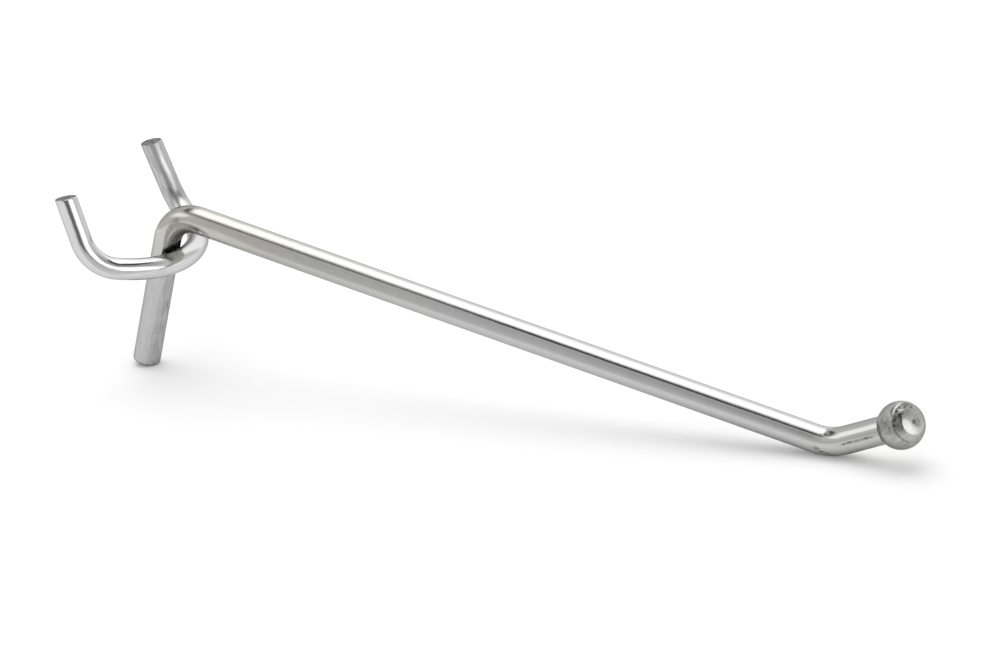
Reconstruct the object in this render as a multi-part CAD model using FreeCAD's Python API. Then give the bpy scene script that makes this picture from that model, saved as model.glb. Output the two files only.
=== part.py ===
import FreeCAD, Part
import math
import os

# Pegboard hook: an arm wire with an upset ball at its tip, and a thinner prong wire welded across its leg.
# Millimetres. The board's front face is the plane y = 0, the arm points along -Y and +Z is up.
# The origin is on the back of the leg, at the height of the board's holes.

# Arm wire: leg, arm and upturned tip, one length of drawn steel wire
arm_wire_d = 3.8
arm_reach = 100.0       # board face to the corner of the tip bend
arm_height = 5.7        # arm's axis above the holes, at the leg
arm_rise_deg = 1.5      # the arm climbs a little toward its tip
arm_bend_r = 4.2        # bend from leg to arm, on the wire's axis
leg_drop = 17.6         # cut foot below the holes
foot_round = 0.45       # softened edge of the foot
tip_turn_deg = 34.5     # upturn of the tip from the arm
tip_bend_r = 7.8        # bend from arm to tip, on the wire's axis
tip_length = 10.5       # corner of the tip bend to the centre of the ball

# Ball, upset from the end of the arm wire
ball_d = 6.4
face_side_deg = 24.0    # the pressed face is turned from the tip's axis to -X
face_lift_deg = 8.0     # and tipped up from it
ring_offset = 1.88      # parting ring in front of the ball's centre, on the face's axis
ring_step = 0.1         # the nose in front of the ring is smaller by this on the radius
face_cut = 0.3          # the pressed face lies this far inside the nose's full round
face_bulge_r = 6.4      # the pressed face bulges a little, to this radius
dimple_d = 0.8          # mark in the middle of the face
dimple_depth = 0.15

# Prong wire: yoke round the front of the leg and two prongs behind the board
prong_wire_d = 3.0
hole_pitch = 25.4       # between the corners of the prong bends
yoke_sweep_deg = 52.7   # turn of the yoke on each side of the leg
prong_bend_r = 5.65     # bend from yoke to prong, on the wire's axis
prong_lean_deg = 33.9   # the prongs lean back from upright
prong_inward_deg = 3.0  # and a little toward each other
prong_length = 6.35     # straight run of a prong above its bend
shear_deg = 9.0         # the sheared ends lie this much nearer level than square
prong_edge = 0.15       # broken edge of the sheared ends
weld_depth = 0.15       # the yoke is pressed this far into the leg

arm_wire_r = arm_wire_d / 2
prong_wire_r = prong_wire_d / 2
ball_r = ball_d / 2


def point(x, y, z):
    """A position or direction in the hook's frame."""
    return FreeCAD.Vector(x, y, z)


def bend(corner, into, out_of, radius):
    """Start, middle and end of an arc that rounds a corner between two unit directions of travel."""
    turn = into.getAngle(out_of)
    cut = radius * math.tan(turn / 2)
    start = corner - into * cut
    end = corner + out_of * cut
    inward = (out_of - into).normalize()
    centre = corner + inward * (radius / math.cos(turn / 2))
    return start, centre - inward * radius, end


def wire_along(edges, radius):
    """A round wire swept along a chain of tangent lines and arcs."""
    spine = Part.Wire(edges)
    start = edges[0].valueAt(edges[0].FirstParameter)
    heading = edges[0].tangentAt(edges[0].FirstParameter)
    section = Part.Wire(Part.makeCircle(radius, start, heading))
    return spine.makePipeShell([section], True, False)


def end_edge(shape, centre):
    """The circular edge of a cut wire end."""
    return min(shape.Edges, key=lambda edge: (edge.CenterOfMass - centre).Length)


def line(start, end):
    """A straight edge."""
    return Part.LineSegment(start, end).toShape()


def arc(start, middle, end):
    """A circular edge through three points."""
    return Part.Arc(start, middle, end).toShape()


# Arm wire
rise = math.radians(arm_rise_deg)
climb = math.radians(arm_rise_deg + tip_turn_deg)
up = point(0, 0, 1)
along_arm = point(0, -math.cos(rise), math.sin(rise))
along_tip = point(0, -math.cos(climb), math.sin(climb))
foot = point(0, -arm_wire_r, -leg_drop)
top_corner = point(0, -arm_wire_r, arm_height)
tip_corner = top_corner + along_arm * ((arm_reach - arm_wire_r) / math.cos(rise))
ball_centre = tip_corner + along_tip * tip_length
top_bend = bend(top_corner, up, along_arm, arm_bend_r)
tip_bend = bend(tip_corner, along_arm, along_tip, tip_bend_r)
bar = wire_along([
    line(foot, top_bend[0]),
    arc(*top_bend),
    line(top_bend[2], tip_bend[0]),
    arc(*tip_bend),
    line(tip_bend[2], ball_centre),
], arm_wire_r)
bar = bar.makeFillet(foot_round, [end_edge(bar, foot)])

# Ball: two rounds that meet in the parting ring, turned about the axis of the pressed face
nose_r = ball_r - ring_step
side = math.radians(face_side_deg)
lift = math.radians(face_lift_deg)
over_tip = point(0, math.sin(climb), math.cos(climb))
pressed = along_tip * (math.cos(side) * math.cos(lift)) + over_tip * math.sin(lift)
pressed += point(-math.sin(side) * math.cos(lift), 0, 0)


def on_ball(radius, height):
    """The point of a round about the ball's centre at a given distance along the face's axis."""
    return point(math.sqrt(radius ** 2 - height ** 2), 0, height)


back = point(0, 0, -ball_r)
nose = point(0, 0, nose_r)
profile = Part.Wire([
    arc(back, on_ball(ball_r, 0), on_ball(ball_r, ring_offset)),
    line(on_ball(ball_r, ring_offset), on_ball(nose_r, ring_offset)),
    arc(on_ball(nose_r, ring_offset), on_ball(nose_r, (ring_offset + nose_r) / 2), nose),
    line(nose, back),
])
ball = Part.Face(profile).revolve(point(0, 0, 0), up, 360)
ball.Placement = FreeCAD.Placement(ball_centre, FreeCAD.Rotation(up, pressed))
face_middle = ball_centre + pressed * (nose_r - face_cut)
ball = ball.common(Part.makeSphere(face_bulge_r, face_middle - pressed * face_bulge_r, pressed))
dimple_r = (dimple_d ** 2 / 4 + dimple_depth ** 2) / (2 * dimple_depth)
ball = ball.cut(Part.makeSphere(dimple_r, face_middle + pressed * (dimple_r - dimple_depth), pressed))
arm_wire = bar.fuse(ball).removeSplitter()

# Prong wire: the yoke's arc runs straight into the two prong bends
sweep = math.radians(yoke_sweep_deg)


def leaning(angle_deg):
    """The direction of the right prong's lean, at an angle back from upright."""
    inward = math.radians(prong_inward_deg)
    back = math.radians(angle_deg)
    return point(-math.sin(inward), math.sin(back) * math.cos(inward), math.cos(back) * math.cos(inward))


def mirrored(p):
    """A point or direction on the hook's other side."""
    return point(-p.x, p.y, p.z)


crown = point(0, -(arm_wire_d + prong_wire_r - weld_depth), 0)
along_prong = leaning(prong_lean_deg)
shear_normal = leaning(prong_lean_deg - shear_deg)
leave_right = point(math.cos(sweep), math.sin(sweep), 0)
bend_cut = prong_bend_r * math.tan(leave_right.getAngle(along_prong) / 2)
yoke_r = (hole_pitch / 2 - bend_cut * math.cos(sweep)) / math.sin(sweep)
shoulder = crown + point(yoke_r * math.sin(sweep), yoke_r * (1 - math.cos(sweep)), 0)
right_bend = bend(shoulder + leave_right * bend_cut, leave_right, along_prong, prong_bend_r)
right_end = right_bend[2] + along_prong * prong_length
right_stock = right_end + along_prong * prong_wire_d
left_bend = [mirrored(p) for p in right_bend]
left_end = mirrored(right_end)
prong_wire = wire_along([
    line(mirrored(right_stock), left_bend[2]),
    arc(left_bend[2], left_bend[1], left_bend[0]),
    arc(left_bend[0], crown, right_bend[0]),
    arc(*right_bend),
    line(right_bend[2], right_stock),
], prong_wire_r)
waste_d = 4 * prong_wire_d
prong_wire = prong_wire.cut(Part.makeCylinder(waste_d / 2, waste_d, right_end, shear_normal))
prong_wire = prong_wire.cut(Part.makeCylinder(waste_d / 2, waste_d, left_end, mirrored(shear_normal)))
prong_wire = prong_wire.makeFillet(prong_edge, [end_edge(prong_wire, end) for end in (left_end, right_end)])
prong_wire = prong_wire.cut(arm_wire)

os.makedirs("parts", exist_ok=True)
arm_wire.exportStep("parts/arm_wire.step")
prong_wire.exportStep("parts/prong_wire.step")
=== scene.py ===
import math

import bpy
import numpy as np
from mathutils import Matrix, Vector


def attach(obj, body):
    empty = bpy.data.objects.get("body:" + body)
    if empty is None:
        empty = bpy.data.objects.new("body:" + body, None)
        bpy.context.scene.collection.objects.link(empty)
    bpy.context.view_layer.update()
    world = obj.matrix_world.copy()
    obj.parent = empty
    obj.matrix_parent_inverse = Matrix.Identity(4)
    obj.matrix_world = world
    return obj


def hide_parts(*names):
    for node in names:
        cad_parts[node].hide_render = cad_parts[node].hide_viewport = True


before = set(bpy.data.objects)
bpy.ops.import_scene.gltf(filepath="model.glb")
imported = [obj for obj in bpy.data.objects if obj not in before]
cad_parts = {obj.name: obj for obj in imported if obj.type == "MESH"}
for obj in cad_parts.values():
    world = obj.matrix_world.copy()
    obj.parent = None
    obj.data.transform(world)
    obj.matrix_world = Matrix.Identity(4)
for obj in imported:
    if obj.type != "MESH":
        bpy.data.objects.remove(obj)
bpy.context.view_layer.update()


# Arm wire. One length of drawn steel wire, cut flat at its foot, bent into a leg and a long arm,
# and turned up at the tip, where its end is upset in a die into a ball. The whole hook is zinc
# plated after welding. Sizes are in mm.
MM = 0.001
tiny = 1e-9
arm_wire_r = 1.9
arm_reach = 100.0
arm_height = 5.7
arm_rise = math.radians(1.5)
arm_bend_r = 4.2
leg_drop = 17.6
foot_round = 0.45
tip_turn = math.radians(34.5)
tip_bend_r = 7.8
tip_length = 10.5
ball_r = 3.2
ring_offset = 1.88
ring_step = 0.1
nose_r = ball_r - ring_step
face_cut = 0.3
face_front = nose_r - face_cut
face_bulge_r = 6.4
face_side = math.radians(24.0)
face_lift = math.radians(8.0)
dimple_r = 0.4
dimple_depth = 0.15
sharp_edge = math.radians(35)


def turned(v, axis, angle):
    """Directions v turned about a unit axis by the angle a.

    Each becomes v cos a + (axis x v) sin a + axis (axis . v) (1 - cos a).
    """
    a = np.asarray(angle)[..., None]
    along_axis = axis * np.asarray(v @ axis)[..., None]
    return v * np.cos(a) + np.cross(axis, v) * np.sin(a) + along_axis * (1 - np.cos(a))


def formed_wire(fed, start, heading, side, moves):
    """Place, heading and side direction of a bent wire at each length fed, as a former makes it.

    A move is (length, turn, axis): that much wire is fed while the heading turns evenly by turn
    about axis. On a turn of radius R = length / turn, a station at the angle a lies at
    start + R (heading sin a + inward (1 - cos a)), and its directions are the move's first ones,
    turned by a. The last move goes on past its end.
    """
    place, ahead, across = (np.empty((len(fed), 3)) for _ in range(3))
    start, heading, side = (np.asarray(v, float) for v in (start, heading, side))
    begin = 0.0

    def arrived(d, length, turn, axis):
        d = np.asarray(d)[..., None]
        if turn == 0:
            return start + heading * d
        bend_r = length / turn
        a = d / bend_r
        inward = np.cross(axis, heading)
        return start + bend_r * (heading * np.sin(a) + inward * (1 - np.cos(a)))

    for length, turn, axis in moves:
        axis = np.asarray(axis, float)
        here = fed >= begin - tiny
        d = fed[here] - begin
        a = d * turn / length
        place[here] = arrived(d, length, turn, axis)
        ahead[here] = turned(heading, axis, a)
        across[here] = turned(side, axis, a)
        start = arrived(length, length, turn, axis)
        heading, side = turned(heading, axis, turn), turned(side, axis, turn)
        begin += length
    return place, ahead, across


def turned_profile(name, profile, round_steps, bends, worked):
    """A closed round surface: a profile turned about a formed wire.

    The profile's rows are (length fed, radius, length as drawn). Point (i, j) lies at
    place_i + radius_i (across_i cos t_j + over_i sin t_j), with t_j the turn round the wire and
    over = ahead x across. worked(points, spokes, fed, turn) then gives the points after pressing
    and the wear of each. The first and last rows close to one point each. The attribute drawn keeps
    each point's place in mm in the wire as it was drawn, before it was bent, and wear runs from 0,
    bright plating, to 1, dark bare metal; it also holds painted shade, and a painted highlight
    lowers it.
    """
    fed, radius, stock = profile.T
    turn = np.arange(round_steps) * (2 * np.pi / round_steps)
    cosines, sines = np.cos(turn), np.sin(turn)
    place, ahead, across = formed_wire(fed, *bends)
    over = np.cross(ahead, across)
    spokes = (
        across[:, None, :] * cosines[None, :, None] + over[:, None, :] * sines[None, :, None])
    swept = place[:, None, :] + spokes * radius[:, None, None]
    points, wear_and_shading = worked(swept, spokes, fed[:, None], turn[None, :])
    drawn = np.stack(np.broadcast_arrays(
        stock[:, None], radius[:, None] * cosines, radius[:, None] * sines), -1)

    def poles_closed(grid):
        flat = grid.reshape(len(fed) * round_steps, -1)
        return flat[round_steps - 1:(len(fed) - 1) * round_steps + 1]

    verts = poles_closed(points)
    last = len(verts) - 1
    rim = last - round_steps
    ring = np.arange(round_steps)
    next_on_ring = (ring + 1) % round_steps
    row = 1 + np.arange(len(fed) - 3)[:, None] * round_steps
    low, beside = row + ring, row + next_on_ring
    quads = np.stack([low, beside, beside + round_steps, low + round_steps], -1).reshape(-1, 4)
    first_fan = np.stack([np.zeros_like(ring), 1 + next_on_ring, 1 + ring], -1)
    last_fan = np.stack([rim + ring, rim + next_on_ring, np.full_like(ring, last)], -1)
    mesh = bpy.data.meshes.new(name)
    mesh.from_pydata(
        (verts * MM).tolist(), [], quads.tolist() + first_fan.tolist() + last_fan.tolist())
    mesh.attributes.new("drawn", "FLOAT_VECTOR", "POINT").data.foreach_set(
        "vector", poles_closed(drawn).ravel())
    mesh.attributes.new("wear_and_shading", "FLOAT", "POINT").data.foreach_set(
        "value", poles_closed(wear_and_shading).ravel())
    mesh.shade_smooth()
    mesh.set_sharp_from_angle(angle=sharp_edge)
    piece = bpy.data.objects.new(name, mesh)
    bpy.context.scene.collection.objects.link(piece)
    return piece


def cut_end(wire_r, edge_r, flat_rows, edge_rows):
    """Profile rows (length fed, radius) of a flat cut end with a rounded edge.

    They run out from the end's middle, and then round the edge, a quarter circle: at the angle e,
    (edge_r (1 - cos e), wire_r - edge_r (1 - sin e)).
    """
    e = np.linspace(0, np.pi / 2, edge_rows)
    flat = np.stack([np.zeros(flat_rows), np.linspace(0, wire_r - edge_r, flat_rows)], 1)
    edge = np.stack([edge_r * (1 - np.cos(e)), wire_r - edge_r * (1 - np.sin(e))], 1)
    return np.concatenate([flat, edge[1:]])


def plain_run(start, end, wire_r, rows):
    """Profile rows (length fed, radius) of plain wire, evenly spaced from start to end."""
    return np.stack([np.linspace(start, end, rows), np.full(rows, wire_r)], 1)


def ramp(value, start, end):
    """0 before start, 1 after end, and a smooth rise between them, t^2 (3 - 2 t)."""
    t = np.clip((value - start) / (end - start), 0, 1)
    return t * t * (3 - 2 * t)


arm_bend = math.pi / 2 - arm_rise
tip_climb = arm_rise + tip_turn
arm_cut = arm_bend_r * math.tan(arm_bend / 2)
tip_cut = tip_bend_r * math.tan(tip_turn / 2)
leg_run = leg_drop + arm_height - arm_cut
arm_run = (arm_reach - arm_wire_r) / math.cos(arm_rise) - arm_cut - tip_cut
sideways = (1, 0, 0)
arm_moves = [
    (leg_run, 0.0, sideways),
    (arm_bend_r * arm_bend, arm_bend, sideways),
    (arm_run, 0.0, sideways),
    (tip_bend_r * tip_turn, -tip_turn, sideways),
    (tip_length - tip_cut, 0.0, sideways),
]
arm_bends = ((0, -arm_wire_r, -leg_drop), (0, 0, 1), sideways, arm_moves)
tip_bend_at = leg_run + arm_bend_r * arm_bend + arm_run
ball_at = sum(move[0] for move in arm_moves)
ring_at = ball_at + ring_offset
neck = ball_at - math.sqrt(ball_r ** 2 - arm_wire_r ** 2)
along_arm = np.array([0, -math.cos(arm_rise), math.sin(arm_rise)])
over_arm = np.array([0, math.sin(arm_rise), math.cos(arm_rise)])
along_tip = np.array([0, -math.cos(tip_climb), math.sin(tip_climb)])
over_tip = np.array([0, math.sin(tip_climb), math.cos(tip_climb)])
tip_corner = np.array([0, -arm_wire_r, arm_height]) + along_arm * (arm_cut + arm_run + tip_cut)
ball_centre = tip_corner + along_tip * tip_length
to_side = along_tip * math.cos(face_side) - np.array([math.sin(face_side), 0, 0])
pressed = to_side * math.cos(face_lift) + over_tip * math.sin(face_lift)
press_turn = math.acos(along_tip @ pressed)
press_axis = np.cross(along_tip, pressed) / math.sin(press_turn)

# Profile from the middle of the foot to the ball's nose, finer from just before the tip bend, with
# a groove behind the parting ring
foot_rows, foot_edge_rows = 6, 9
arm_rows, tip_rows, band_rows, nose_rows = 160, 140, 96, 90
arm_round_steps = 160
fine_run = 4.0
fine_from = tip_bend_at - fine_run
groove_depth = 0.07
groove_width = 0.22
groove_at = ring_at - groove_width
groove_middle = ring_at - groove_width / 2
band = np.linspace(-math.acos(arm_wire_r / ball_r), math.asin(ring_offset / ball_r), band_rows)
band_z = ball_r * np.sin(band)
across_groove = np.clip((band_z - ring_offset) / groove_width + 1, 0, 1)
band_r = ball_r * np.cos(band) - groove_depth * np.sin(np.pi * across_groove)
nose = np.linspace(math.asin(ring_offset / nose_r), np.pi / 2, nose_rows)
arm_outline = np.concatenate([
    cut_end(arm_wire_r, foot_round, foot_rows, foot_edge_rows),
    plain_run(foot_round, fine_from, arm_wire_r, arm_rows)[1:],
    plain_run(fine_from, neck, arm_wire_r, tip_rows)[1:],
    np.stack([ball_at + band_z, band_r], 1)[1:],
    np.stack([ball_at + nose_r * np.sin(nose), nose_r * np.cos(nose)], 1),
])
# Upsetting drives about three times the ball's length of wire into it
upset_ratio = 3.0
arm_stock = arm_outline[:, 0] + (upset_ratio - 1) * np.maximum(arm_outline[:, 0] - neck, 0)
arm_profile = np.column_stack([arm_outline, arm_stock])

# Marks on the wire, each (length fed, degrees round, half length, half width, wear): smudges on the
# leg, a scuff under the tip bend and a row of pits along the tip. The bender's notch on top of the
# tip bend is only pressed in, and has no wear.
smudges = [
    (9.6, 254, 1.1, 0.40, 0.45), (6.5, 250, 0.8, 0.35, 0.40), (5.6, 216, 0.9, 0.25, 0.26),
    (3.4, 213, 0.9, 0.30, 0.20), (2.9, 164, 1.0, 0.30, 0.20), (8.3, 228, 1.6, 0.30, 0.18),
    (12.6, 243, 1.4, 0.50, 0.15), (10.8, 208, 1.2, 0.25, 0.10),
]
scuffs = [
    (118.3, 196, 0.45, 0.26, 0.90), (119.0, 207, 0.40, 0.20, 0.80), (119.6, 216, 0.35, 0.18, 0.60),
]
tip_pits = [
    (122.3, 179, 0.35, 0.12, 0.60), (123.1, 178, 0.50, 0.14, 0.80), (124.2, 180, 0.45, 0.11, 0.75),
    (125.6, 179, 0.40, 0.12, 0.80), (126.4, 181, 0.25, 0.10, 0.60), (124.6, 179, 2.6, 0.20, 0.45),
]
pit_depth = 0.05
notch_mark = (119.1, 133, 0.40, 0.45)
notch_depth = 0.035

# Dull stretches of the wire, each (wear, lengths fed at which it begins and is full, lengths at
# which it fades and ends, angles in radians from the wire's front at which it fades and ends). Two
# of them are painted shade, inside the arm's bend and under the tip. The front of the leg runs on as
# the inside of the arm's bend and the underside of the arm. No point is as far from the front as
# all_round.
wire_front = 1.5 * np.pi
all_round = (5.0, 6.0)
dull_and_shaded_stretches = [
    (0.60, (-2, -1), (0.1, 0.5), all_round),                  # cut edge of the foot
    (0.24, (leg_drop, leg_drop + 2), (25, 29), (0.9, 1.4)),   # painted shade in the crease inside the arm's bend
    (0.07, (20, 24), (40, 65), all_round),                    # arm near its bend
    (0.34, (88, 110), (124, 127), (0.50, 1.0)),               # painted shade on the underside near the tip, for the table's contact shadow it mirrors
]
# The leg is dull all round up to the yoke, and more so on the side between two angles
leg_wear = 0.10
leg_side_wear = 0.15
leg_side_from = (math.radians(205), math.radians(240))
leg_side_to = (5.2, 5.6)
leg_wear_to = (leg_drop - 2, leg_drop + 3)

# A dark band by the weld, from the yoke up to a line that is highest on the front of the leg
weld_dark_from = (leg_drop - 1, leg_drop)
weld_dark_height = 2.2
weld_dark_droop = 0.95
weld_dark_blur = 0.3
weld_dark_sides = (1.36, 1.45)

# Wear of the ball: its band is dull from the die's grip, less so in a painted highlight on its
# top, where the overhead light is mirrored, its nose is scorched, and its face is stained round a
# place in mm from the face's middle. A patch is (direction from the ball's centre, cosines of the
# angles from it at which the patch begins and is full, wear).
band_wear = 0.24
band_wear_from = (neck, neck + 0.15)
painted_highlight_patch = ((-0.47, 0.36, 0.80), 0.86, 0.98, 0.16)
gripped_patch = ((-0.89, 0.33, 0.30), 0.84, 0.98, 0.14)
groove_wear = 0.4
nose_from = ring_at - 0.01
nose_wear = 0.20
scorch_patches = [
    ((-0.71, -0.03, 0.70), 0.76, 0.99, 0.46),
    ((-0.28, -0.12, 0.95), 0.86, 0.97, 0.36),
]
face_within = 0.5
face_wear = 0.12
stain_wear = 0.34
stain_at = np.array([0.27, -0.32, -0.16])
stain_fade = (0.25, 1.1)
dimple_wear = 0.2
dimple_dark_from = 0.3 * dimple_depth


def oval(fed, turn, at, round_deg, length, width):
    """A soft oval on the arm wire, exp(-(along / length)^2 - (round / width)^2), in mm."""
    round_mm = arm_wire_r * ((turn - math.radians(round_deg) + np.pi) % (2 * np.pi) - np.pi)
    return np.exp(-((fed - at) / length) ** 2 - (round_mm / width) ** 2)


def arm_wear_and_shading(fed, turn):
    """Wear and painted shade of the wire itself: the greatest of its marks, dull stretches with
    their painted shade, dull leg and the dark band by the weld.

    The dark band ends above the yoke at its height times cos(droop a), with a the angle from the
    front.
    """
    off_front = np.abs(turn - wire_front)
    side = ramp(turn, *leg_side_from) * (1 - ramp(turn, *leg_side_to))
    wear_and_shading = (leg_wear + leg_side_wear * side) * (1 - ramp(fed, *leg_wear_to))
    for *mark, dark in smudges + scuffs + tip_pits:
        wear_and_shading = np.maximum(wear_and_shading, dark * oval(fed, turn, *mark))
    # Two of these stretches are painted shade: inside the arm's bend and under the tip
    for dark, begins, ends, sides in dull_and_shaded_stretches:
        along = dark * ramp(fed, *begins) * (1 - ramp(fed, *ends))
        wear_and_shading = np.maximum(wear_and_shading, along * (1 - ramp(off_front, *sides)))
    # The dark band by the weld, highest on the front of the leg
    weld_dark_top = leg_drop + weld_dark_height * np.cos(weld_dark_droop * off_front)
    dark_by_weld = 1 - ramp(fed - weld_dark_top, -weld_dark_blur, weld_dark_blur)
    dark_by_weld = dark_by_weld * (1 - ramp(off_front, *weld_dark_sides)) * ramp(fed, *weld_dark_from)
    return np.maximum(wear_and_shading, dark_by_weld)


def pressed_tip(points, spokes, fed, turn):
    """Presses the ball's face, the bender's notch and the tip's pits, and gives wear and painted
    light.

    Notch and pits are soft ovals. The ball's points turn about its centre, more and more from the
    neck to the ring, which comes to lie square to the face's axis. A point of the nose, in a
    direction that makes the angle g with that axis, moves in to the round of radius R whose front
    is at f on the axis: (f - R) cos g + sqrt(R^2 - (R - f)^2 sin^2 g) from the ball's centre. The
    dimple is a parabola round the axis. The die dulls the ball, except in a painted highlight on the
    band's top, the nose is scorched, and the face has a stain round its middle.
    """
    notch = oval(fed, turn, *notch_mark)
    pits = sum(dark * oval(fed, turn, *mark) for *mark, dark in tip_pits)
    points = points - spokes * (notch_depth * notch + pit_depth * pits)[..., None]
    outward = turned(points - ball_centre, press_axis, press_turn * ramp(fed, neck, groove_at))
    distance = np.linalg.norm(outward, axis=-1)
    facing = outward @ pressed / np.maximum(distance, tiny)
    sunk = face_bulge_r - face_front
    to_face = np.sqrt(face_bulge_r ** 2 - sunk ** 2 * (1 - facing ** 2)) - sunk * facing
    from_axis = distance * np.sqrt(np.maximum(1 - facing ** 2, 0))
    dimple = dimple_depth * np.clip(1 - (from_axis / dimple_r) ** 2, 0, 1)
    front = (fed > ring_at) & (facing > face_within)
    moved = np.where(front, np.minimum(distance, to_face) - dimple, distance)
    points = ball_centre + outward * (moved / np.maximum(distance, tiny))[..., None]

    def patch(direction, begins, full, wear_and_shading):
        toward = outward @ np.array(direction) / np.maximum(distance, tiny)
        return wear_and_shading * ramp(toward, begins, full)

    groove = ramp(fed, groove_at, groove_middle) * (1 - ramp(fed, groove_middle, ring_at))
    # The painted highlight lowers the band's wear on its top, where the overhead light is mirrored
    on_band = band_wear + patch(*gripped_patch) - patch(*painted_highlight_patch)
    on_band = on_band * ramp(fed, *band_wear_from) + groove_wear * groove
    on_nose = nose_wear + np.maximum.reduce([patch(*scorch) for scorch in scorch_patches])
    wear_and_shading = np.where(fed > nose_from, on_nose, on_band)
    stain_from = np.linalg.norm(outward - pressed * face_front - stain_at, axis=-1)
    stain = stain_wear * (1 - ramp(stain_from, *stain_fade))
    on_face = face_wear + stain + dimple_wear * (dimple > dimple_dark_from)
    wear_and_shading = np.where(front & (distance > to_face), on_face, wear_and_shading)
    return points, np.maximum(wear_and_shading, arm_wear_and_shading(fed, turn))


arm_wire = turned_profile("arm_wire_formed", arm_profile, arm_round_steps, arm_bends, pressed_tip)


def srgb(code):
    """Linear colour of an sRGB hex code."""
    c = np.array([int(code[i:i + 2], 16) for i in (1, 3, 5)]) / 255
    return (*np.where(c <= 0.04045, c / 12.92, ((c + 0.055) / 1.055) ** 2.4), 1.0)


def add_node(tree, kind, inputs, **settings):
    """Adds one shader node.

    Settings are its properties. Each input is a value, or another node's output to link.
    """
    made = tree.nodes.new("ShaderNode" + kind)
    for name, value in settings.items():
        setattr(made, name, value)
    for socket, value in inputs.items():
        if isinstance(value, bpy.types.NodeSocket):
            tree.links.new(value, made.inputs[socket])
        else:
            made.inputs[socket].default_value = value
    return made


# Bright zinc plating on drawn steel: a mirror broken by fine draw lines along the wire and a faint
# plating ripple, dull where it is worn, dark where the steel is bare, in a dark band by the weld and
# where shade is painted on, and lighter in a painted highlight on the ball. Real draw lines are
# finer: these are as coarse as it takes for them to show.
zinc = bpy.data.materials.new("bright_zinc_plated_steel")
zinc.use_nodes = True
tree = zinc.node_tree
shader = tree.nodes["Principled BSDF"]
drawn = add_node(tree, "Attribute", {}, attribute_name="drawn")
worn_and_shaded = add_node(tree, "Attribute", {}, attribute_name="wear_and_shading")
noise_low, noise_high = 0.3, 0.7
draw_line_mm = 0.3
draw_line_length_mm = 30.0
draw_line_height_mm = 0.008
lines_at = add_node(tree, "VectorMath", {
    0: drawn.outputs["Vector"],
    1: (1 / draw_line_length_mm, 1 / draw_line_mm, 1 / draw_line_mm),
}, operation="MULTIPLY")
lines = add_node(tree, "TexNoise", {"Vector": lines_at.outputs[0], "Scale": 1.0, "Detail": 3.0})
ripple_mm = 1.6
ripple_height_mm = 0.02
ripple_dark, ripple_bright = 0.955, 1.045
ripple = add_node(tree, "TexNoise", {
    "Vector": drawn.outputs["Vector"], "Scale": 1 / ripple_mm, "Detail": 2.0})
# Wear is patchy: it comes and goes between these shares of itself
wear_thin, wear_thick = 0.5, 1.5
mottle_mm = 0.45
mottle_length_mm = 2.2
mottle_at = add_node(tree, "VectorMath", {
    0: drawn.outputs["Vector"],
    1: (1 / mottle_length_mm, 1 / mottle_mm, 1 / mottle_mm),
}, operation="MULTIPLY")
mottle = add_node(tree, "TexNoise", {"Vector": mottle_at.outputs[0], "Scale": 1.0, "Detail": 3.0})
patchy = add_node(tree, "MapRange", {
    "Value": mottle.outputs[0], "From Min": noise_low, "From Max": noise_high,
    "To Min": wear_thin, "To Max": wear_thick})
wear_and_shading_here = add_node(tree, "Math", {
    0: worn_and_shaded.outputs["Fac"], 1: patchy.outputs[0]}, operation="MULTIPLY", use_clamp=True)
# Colour of the plating along the wire as drawn, stops of (mm, colour): a little yellow by the arm's
# bend and at the tip, and brighter on the prong wire
plating_stops = [
    (17, "#C2C2C2"), (22, "#C3C2BA"), (65, "#C2C2C2"), (114, "#C2C2C2"), (122, "#C2C2BF"),
    (150, "#C2C2BF"), (190, "#D0D0D0"),
]
plating_span = 200.0
along = add_node(tree, "SeparateXYZ", {"Vector": drawn.outputs["Vector"]})
plating_at = add_node(tree, "Math", {
    0: along.outputs["X"], 1: 1 / plating_span}, operation="MULTIPLY")
plating = add_node(tree, "ValToRGB", {"Fac": plating_at.outputs[0]})
stops = plating.color_ramp.elements
stops[0].color, stops[-1].color = srgb(plating_stops[0][1]), srgb(plating_stops[-1][1])
for length, colour in plating_stops:
    stops.new(length / plating_span).color = srgb(colour)
ripple_tone = add_node(tree, "MapRange", {
    "Value": ripple.outputs[0], "To Min": ripple_dark, "To Max": ripple_bright})
tint = add_node(tree, "Mix", {
    "Factor": 1.0, "A": plating.outputs["Color"], "B": ripple_tone.outputs[0],
}, data_type="RGBA", blend_type="MULTIPLY")
bare_steel = "#1C1B19"
# Darkens toward bare steel by wear, which also carries painted shade and a painted highlight
dull = add_node(tree, "Mix", {
    "Factor": wear_and_shading_here.outputs[0], "A": tint.outputs["Result"], "B": srgb(bare_steel),
}, data_type="RGBA")
smoothest, roughest = 0.10, 0.16
wear_rough = 0.75
rough = add_node(tree, "MapRange", {
    "Value": lines.outputs[0], "From Min": noise_low, "From Max": noise_high,
    "To Min": smoothest, "To Max": roughest})
rough_here = add_node(tree, "Math", {
    0: wear_and_shading_here.outputs[0], 1: wear_rough, 2: rough.outputs[0]}, operation="MULTIPLY_ADD")
line_bump = add_node(tree, "Bump", {
    "Height": lines.outputs[0], "Distance": draw_line_height_mm * MM, "Strength": 1.0})
ripple_bump = add_node(tree, "Bump", {
    "Height": ripple.outputs[0], "Normal": line_bump.outputs[0],
    "Distance": ripple_height_mm * MM, "Strength": 1.0})
tree.links.new(rough_here.outputs[0], shader.inputs["Roughness"])
tree.links.new(dull.outputs["Result"], shader.inputs["Base Color"])
tree.links.new(ripple_bump.outputs[0], shader.inputs["Normal"])
shader.inputs["Metallic"].default_value = 1.0
shader.inputs["Specular Tint"].default_value = (0.5, 0.5, 0.5, 1.0)
arm_wire.data.materials.append(zinc)
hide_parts("arm_wire")
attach(arm_wire, "root")


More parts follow.
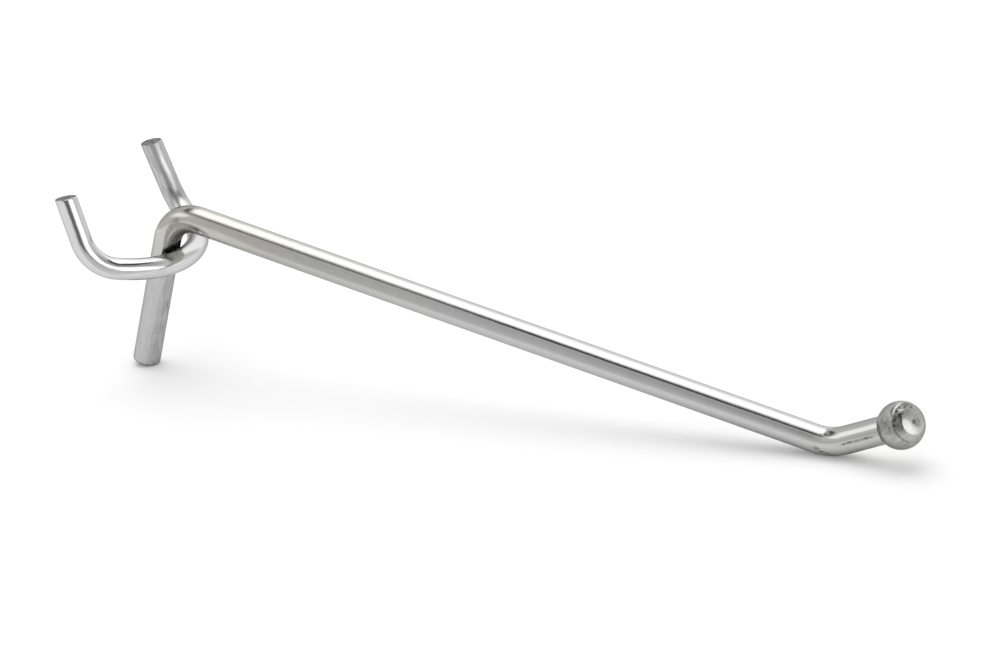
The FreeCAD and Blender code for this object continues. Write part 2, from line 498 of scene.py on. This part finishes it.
# Prong wire. A thinner length of the same wire, sheared at both ends, bent round the front of the
# leg as a yoke and up into two prongs that hook behind the board. The yoke is resistance welded to
# the leg.
prong_wire_r = 1.5
half_pitch = 12.7
yoke_sweep = math.radians(52.7)
prong_bend_r = 5.65
prong_lean = math.radians(33.9)
prong_inward = math.radians(3.0)
prong_length = 6.35
shear = math.radians(9.0)
prong_edge = 0.15
weld_depth = 0.15


def leaning(angle):
    """Direction of the right prong's lean at an angle back from upright, tipped a little inward.

    With the inward angle i it is (-tan i, sin angle, cos angle) cos i.
    """
    upright = np.array([-math.tan(prong_inward), math.sin(angle), math.cos(angle)])
    return upright * math.cos(prong_inward)


leave = np.array([math.cos(yoke_sweep), math.sin(yoke_sweep), 0])
up_prong = leaning(prong_lean)
cut_normal = leaning(prong_lean - shear)
prong_bend = math.acos(leave @ up_prong)
prong_cut = prong_bend_r * math.tan(prong_bend / 2)
yoke_r = (half_pitch - prong_cut * math.cos(yoke_sweep)) / math.sin(yoke_sweep)
crown_y = -(2 * arm_wire_r + prong_wire_r - weld_depth)
shoulder = np.array(
    [yoke_r * math.sin(yoke_sweep), crown_y + yoke_r * (1 - math.cos(yoke_sweep)), 0])
right_corner = shoulder + leave * prong_cut
mirror = np.array([-1, 1, 1])
right_end = right_corner + up_prong * (prong_cut + prong_length)
left_end = mirror * right_end
down_left = mirror * -up_prong
left_axis = np.cross(down_left, mirror * -leave) / math.sin(prong_bend)
right_axis = np.cross(leave, up_prong) / math.sin(prong_bend)
prong_moves = [
    (prong_length, 0.0, left_axis),
    (prong_bend_r * prong_bend, prong_bend, left_axis),
    (yoke_r * 2 * yoke_sweep, 2 * yoke_sweep, (0, 0, 1)),
    (prong_bend_r * prong_bend, prong_bend, right_axis),
    (prong_length, 0.0, right_axis),
]
prong_bends = (left_end, down_left, left_axis, prong_moves)
prong_wire_length = sum(move[0] for move in prong_moves)

# Profile from one sheared end to the other. Its length as drawn is counted from stock_offset, so
# that its draw lines, mottle and colour are its own and not the arm wire's.
shear_rows, shear_edge_rows, shank_rows = 5, 5, 330
prong_round_steps = 96
stock_offset = 200.0
near_end = cut_end(prong_wire_r, prong_edge, shear_rows, shear_edge_rows)
far_end = near_end[::-1] * (-1, 1) + (prong_wire_length, 0)
shank = plain_run(prong_edge, prong_wire_length - prong_edge, prong_wire_r, shank_rows)[1:-1]
prong_outline = np.concatenate([near_end, shank, far_end])
prong_profile = prong_outline[:, [0, 1, 0]] + (0, 0, stock_offset)

# Wear: bare steel on the sheared ends, a dull far prong and far side of the yoke, and painted
# shade on the side of the yoke that faces the leg, behind and above it, for the dark crevice at the
# weld
sheared_wear = 0.55
sheared_to = (0.0, 0.05)
far_prong_wear = 0.26
far_prong_to = (8.0, 15.0)
yoke_wear = 0.14
yoke_wear_from, yoke_wear_to = (3, 6), (10, 13)
yoke_painted_shade = 0.4
yoke_painted_shade_to = (1.5, 4.0)
toward_leg = np.array([0, 0.8, 0.6])
yoke_painted_shade_side = (0.55, 0.85)


def sheared_ends(points, spokes, fed, turn):
    """Slants the ends of the straight prongs to the shear's cut, and gives wear and painted shade.

    A point of the end's row moves along the prong until it lies in the plane of the cut, and the
    rows behind it move less and less, down to none at the bend.
    """
    from_left, from_right = fed, prong_wire_length - fed
    for end, inward, normal, from_end in (
            (left_end, down_left, mirror * cut_normal, from_left),
            (right_end, -up_prong, cut_normal, from_right)):
        proud = ((points - end) @ normal) / (inward @ normal) - from_end
        share = np.clip(1 - from_end / prong_length, 0, 1)
        points = points - inward * (proud * share)[..., None]
    past_middle = fed - prong_wire_length / 2
    bare = sheared_wear * (1 - ramp(np.minimum(from_left, from_right), *sheared_to))
    on_yoke = ramp(past_middle, *yoke_wear_from) * (1 - ramp(past_middle, *yoke_wear_to))
    dulled = far_prong_wear * (1 - ramp(from_right, *far_prong_to)) + yoke_wear * on_yoke
    # Painted shade on the yoke's side toward the leg, in the crevice at the weld
    dark_by_weld = yoke_painted_shade * (1 - ramp(np.abs(past_middle), *yoke_painted_shade_to))
    dark_by_weld = dark_by_weld * ramp(spokes @ toward_leg, *yoke_painted_shade_side)
    return points, np.maximum(np.maximum(bare, dulled), dark_by_weld)


prong_wire = turned_profile(
    "prong_wire_formed", prong_profile, prong_round_steps, prong_bends, sheared_ends)
prong_wire.data.materials.append(zinc)
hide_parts("prong_wire")
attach(prong_wire, "root")


# Table top. The loose hook lies on a white table on the front of its foot and the underside of its
# tip bend, so in the hook's own frame the table climbs toward the tip. It touches two circles from
# below: the foot's edge and the outside of the tip bend.
tip_centre = tip_corner - along_arm * tip_cut + over_arm * tip_bend_r
foot_centre = np.array([0, -2 * arm_wire_r + foot_round, -leg_drop + foot_round])
span = tip_centre - foot_centre
slope = math.atan2(span[2], -span[1]) - math.asin(
    (tip_bend_r + arm_wire_r - foot_round) / math.hypot(span[1], span[2]))
table_up = np.array([0, math.sin(slope), math.cos(slope)])
table_back = np.array([0, math.cos(slope), -math.sin(slope)])
table_point = foot_centre - table_up * foot_round
table_size = 2000.0


def on_table(x, y, z):
    """Points in mm by their place across, toward the back of and above the table."""
    across = np.multiply.outer(x, (1.0, 0, 0))
    return table_point + across + np.multiply.outer(y, table_back) + np.multiply.outer(z, table_up)


def stage_piece(name, points, faces, material):
    """Adds a mesh that belongs to the studio and not to the hook."""
    mesh = bpy.data.meshes.new(name)
    mesh.from_pydata((points * MM).tolist(), [], faces)
    mesh.materials.append(material)
    piece = bpy.data.objects.new(name, mesh)
    bpy.context.scene.collection.objects.link(piece)
    return piece


def seen_directly(tree):
    """Output that is 1 for rays from the camera, mirrors and glass, and 0 for rays of light."""
    paths = add_node(tree, "LightPath", {})
    seen = add_node(tree, "Math", {
        0: paths.outputs["Is Camera Ray"], 1: paths.outputs["Is Glossy Ray"]}, operation="MAXIMUM")
    return add_node(tree, "Math", {
        0: seen.outputs[0], 1: paths.outputs["Is Transmission Ray"],
    }, operation="MAXIMUM").outputs[0]


# White paper, matt. Far from the hook, where the lamp is weak, it is lifted to the white of the
# room, and from below it is clear, so that the hook can be seen from there.
paper = bpy.data.materials.new("white_paper")
paper.use_nodes = True
tree = paper.node_tree
tree.nodes.clear()
lift_near_m, lift_far_m = 0.2, 0.6
lift_near, lift_far = 0.115, 0.40
matt = add_node(tree, "BsdfDiffuse", {"Color": srgb("#FAFAFA")})
place = add_node(tree, "TexCoord", {})
away = add_node(tree, "VectorMath", {0: place.outputs["Object"]}, operation="LENGTH")
whiten = add_node(tree, "MapRange", {
    "Value": away.outputs["Value"], "From Min": lift_near_m, "From Max": lift_far_m,
    "To Min": lift_near, "To Max": lift_far})
lift = add_node(tree, "Math", {0: seen_directly(tree), 1: whiten.outputs[0]}, operation="MULTIPLY")
glow = add_node(tree, "Emission", {"Color": (1, 1, 1, 1), "Strength": lift.outputs[0]})
white = add_node(tree, "AddShader", {0: matt.outputs[0], 1: glow.outputs[0]})
side = add_node(tree, "NewGeometry", {})
clear = add_node(tree, "BsdfTransparent", {})
surface = add_node(tree, "MixShader", {
    0: side.outputs["Backfacing"], 1: white.outputs[0], 2: clear.outputs[0]})
add_node(tree, "OutputMaterial", {"Surface": surface.outputs[0]})
corners = np.array([(-1, -1), (1, -1), (1, 1), (-1, 1)]) * table_size
stage_piece(
    "table_top", on_table(corners[:, 0], corners[:, 1], np.zeros(4)), [(0, 1, 2, 3)], paper)


# Studio. A soft lamp overhead lights the table. The plating mirrors a cloth tent: bright overhead
# with a dark seam below it, grey sides, a pale far side, a bright panel before the tip and a dark
# opening for the camera.
softbox_radiance = 1.25
softbox = bpy.data.lights.new("softbox", "AREA")
softbox.shape = "RECTANGLE"
softbox.size = 0.9
softbox.size_y = 1.2
softbox.energy = softbox_radiance * math.pi * softbox.size * softbox.size_y
lamp = bpy.data.objects.new("softbox", softbox)
bpy.context.scene.collection.objects.link(lamp)
lamp_place = on_table(330.0, 240.0, 880.0)
lamp_aim = on_table(0.0, -50.0, 0.0)
look = Vector((lamp_aim - lamp_place).tolist()).to_track_quat("-Z", "Y").to_matrix().to_4x4()
lamp.matrix_world = Matrix.Translation(Vector((lamp_place * MM).tolist())) @ look
lamp.visible_camera = False
lamp.visible_glossy = False

tent_r = 900.0
tent_y = -50.0
tent_columns, tent_rows = 180, 90
round_deg = np.repeat(np.arange(tent_columns)[None, :] * (360 / tent_columns), tent_rows, 0)
rise_deg = np.repeat(np.arange(float(tent_rows))[:, None], tent_columns, 1)
round_rad, rise_rad = np.radians(round_deg), np.radians(rise_deg)
cloth = on_table(
    tent_r * np.cos(rise_rad) * np.sin(round_rad),
    tent_y + tent_r * np.cos(rise_rad) * np.cos(round_rad),
    tent_r * np.sin(rise_rad)).reshape(-1, 3)
cloth = np.concatenate([cloth, [on_table(0.0, tent_y, tent_r)]])


def between(start, end, soft):
    """1 between two directions round the tent, with soft edges.

    They are in degrees and run from the back by the far side to the tip and the camera.
    """
    begun = ramp(round_deg, start - soft, start + soft)
    return begun * (1 - ramp(round_deg, end - soft, end + soft))


# Panels of the tent, each laid over the ones before it: (brightness, directions between which it
# hangs and their softness, heights in degrees at which it begins and is full, heights at which it
# fades and ends)
side_level, near_side_drop = 0.78, 0.23
near_side = (180, 286, 12)
far_side = (64, 114, 5)
from_table, to_top = (-2, -1), (91, 92)
tip_panel_top = (30, 37)
tent_panels = [
    (1.00, (120, 190, 10), from_table, (4, 16)),                        # strip beyond the tip
    (1.35, far_side, from_table, to_top),                               # pale far side
    (0.50, (150, 225, 6), tip_panel_top, to_top),                       # grey above the tip
    (1.90, (166 + 0.5 * rise_deg, 222, 4), from_table, tip_panel_top),  # bright before the tip
    (1.50, (306, 352, 6), (24, 29), (44, 48)),                          # bright behind the leg
    (0.16, (234, 274, 3), from_table, (32, 40)),                        # opening for the camera
]
level = side_level - near_side_drop * between(*near_side)
for brightness, directions, begins, ends in tent_panels:
    hung = between(*directions) * ramp(rise_deg, *begins) * (1 - ramp(rise_deg, *ends))
    level += (brightness - level) * hung
# The dark seam below the cloth overhead, paler behind the leg, leaves out the far side
seam_dark, seam_lift = 0.03, 0.18
seam_lifted = (290, 360, 6)
seam_from = (50, 54)
seam_level = seam_dark + seam_lift * between(*seam_lifted)
level += (seam_level - level) * ramp(rise_deg, *seam_from) * (1 - between(*far_side))
# The cloth overhead is a rectangle, measured across and along it in heights of the tent
overhead_level = 2.1
overhead_near, overhead_far, overhead_ends = (-0.6, -0.05), (0.5, 0.95), (0.3, 0.55)
overhead_from = (40, 50)
lowest_rise = 0.01
out_per_height = 1 / np.tan(np.maximum(rise_rad, lowest_rise))
across_top, along_top = np.sin(round_rad) * out_per_height, np.cos(round_rad) * out_per_height
overhead = ramp(across_top, *overhead_near) * (1 - ramp(across_top, *overhead_far))
overhead = overhead * (1 - ramp(abs(along_top), *overhead_ends)) * ramp(rise_deg, *overhead_from)
level += (overhead_level - level) * overhead
level = np.append(level.ravel(), overhead_level)
column = np.arange(tent_columns)
next_column = (column + 1) % tent_columns
row = np.arange(tent_rows - 1)[:, None] * tent_columns
first, beside = row + column, row + next_column
tent_faces = np.stack(
    [first, first + tent_columns, beside + tent_columns, beside], -1).reshape(-1, 4).tolist()
rim = (tent_rows - 1) * tent_columns
peak = np.full(tent_columns, tent_rows * tent_columns)
tent_faces += np.stack([rim + column, peak, rim + next_column], -1).tolist()
tent_cloth = bpy.data.materials.new("tent_cloth")
tent_cloth.use_nodes = True
tree = tent_cloth.node_tree
tree.nodes.clear()
lit = add_node(tree, "Attribute", {}, attribute_name="level")
glow = add_node(tree, "Emission", {"Color": (1, 1, 1, 1), "Strength": lit.outputs["Fac"]})
add_node(tree, "OutputMaterial", {"Surface": glow.outputs[0]})
tent_cloth.cycles.emission_sampling = "NONE"
tent = stage_piece("light_tent", cloth, tent_faces, tent_cloth)

# A slanted card along the hook's near side darkens from the table up. Each row of its brightness
# has the end by the leg and the end by the tip.
card_up = np.array([0.0, 0.15, 0.3, 0.5, 1.0])
card_level = np.array([(1.08, 0.98), (1.02, 0.9), (0.84, 0.72), (0.75, 0.64), (0.72, 0.62)])
card_foot = np.array([(-15.0, -8.0, 0.0), (-10.0, -125.0, 0.0)])
card_top = np.array([(-45.0, 6.0, 22.0), (-19.0, -125.0, 6.0)])
card_points = card_foot + (card_top - card_foot) * card_up[:, None, None]
card_faces = [(2 * i, 2 * i + 1, 2 * i + 3, 2 * i + 2) for i in range(len(card_up) - 1)]
card = stage_piece("near_card", on_table(*card_points.reshape(-1, 3).T), card_faces, tent_cloth)
for piece, brightness in ((tent, level), (card, card_level.ravel())):
    piece.data.attributes.new("level", "FLOAT", "POINT").data.foreach_set("value", brightness)
    piece.visible_camera = False
    piece.visible_diffuse = False
    piece.visible_shadow = False

# The room is white to the eye, and its light fills the shadows
room_light = 0.7
world = bpy.data.worlds.new("studio")
bpy.context.scene.world = world
world.use_nodes = True
tree = world.node_tree
background = tree.nodes["Background"]
dim = add_node(tree, "MapRange", {
    "Value": seen_directly(tree), "To Min": room_light, "To Max": 1.0})
background.inputs["Color"].default_value = (1, 1, 1, 1)
tree.links.new(dim.outputs[0], background.inputs["Strength"])

# Camera. It looks down on the hook from the left of its tip and leans with the table.
camera_place = Vector((-0.560215, -0.251035, 0.303641))
camera_aim = Vector((0.0, -0.051991, 0.006145))
camera_lean = math.radians(-11.835)
camera = bpy.data.cameras.new("camera")
camera.sensor_width = 36.0
camera.lens = 179.241
viewer = bpy.data.objects.new("camera", camera)
bpy.context.scene.collection.objects.link(viewer)
level_view = (camera_aim - camera_place).to_track_quat("-Z", "Y").to_matrix().to_4x4()
leaned = Matrix.Rotation(-camera_lean, 4, "Z")
viewer.matrix_world = Matrix.Translation(camera_place) @ level_view @ leaned
bpy.context.scene.camera = viewer
bpy.context.scene.view_settings.view_transform = "Standard"
